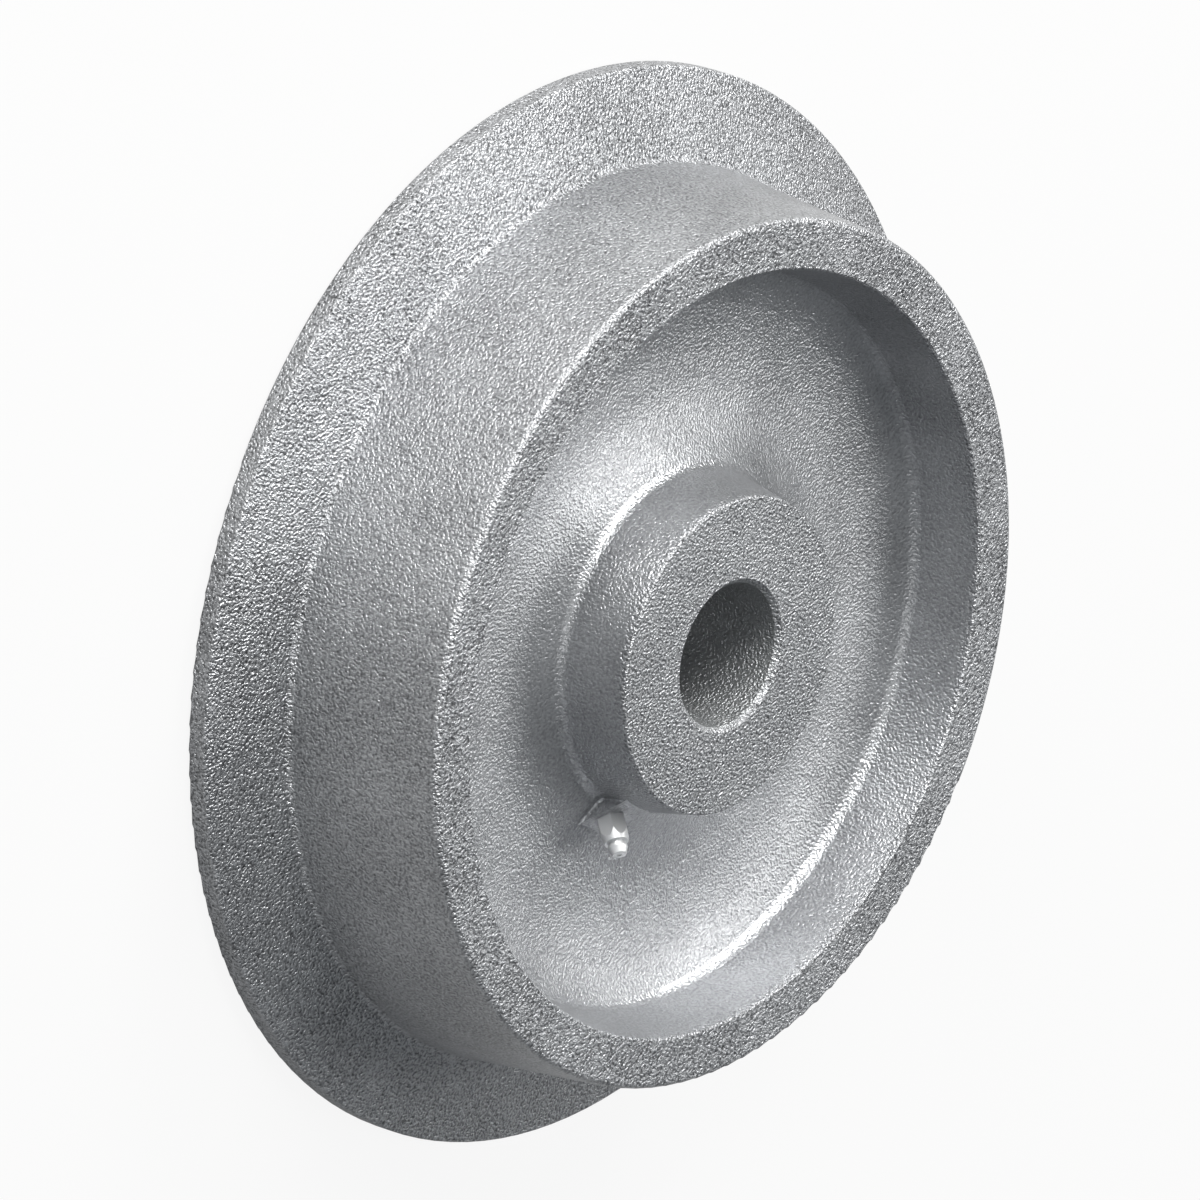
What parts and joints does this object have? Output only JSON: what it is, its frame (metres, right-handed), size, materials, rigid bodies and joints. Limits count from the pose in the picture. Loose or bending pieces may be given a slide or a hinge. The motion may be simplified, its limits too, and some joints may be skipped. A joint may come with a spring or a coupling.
{
  "type": "flanged track wheel",
  "caption": "Flanged cast-iron track wheel with a plain bore, dished recesses on both sides and a grease nipple on a pad beside the hub.",
  "frame": {"origin": "on the bore's axis, in the back face of the flange", "axes": "+Z along the bore from the flanged back face to the front, +X towards the grease nipple"},
  "size_m": [0.374, 0.374, 0.0765],
  "materials": {
    "casting": "as cast, cleaned, with a fine orange-peel grain",
    "nipple_steel": "bright zinc plate"
  },
  "bodies": {
    "wheel": {"track_wheel": "casting", "nipple_body": "nipple_steel", "nipple_spring": "nipple_steel"},
    "ball": {"nipple_ball": "nipple_steel"}
  },
  "joints": [
    {"name": "ball_valve", "type": "slide", "parent": "wheel", "child": "ball", "axis": [-0.766, 0, -0.6428], "range_m": [0, 0.0008], "stiffness_N_per_m": 400, "springref_m": -0.001, "deforming": ["nipple_spring"]}
  ]
}
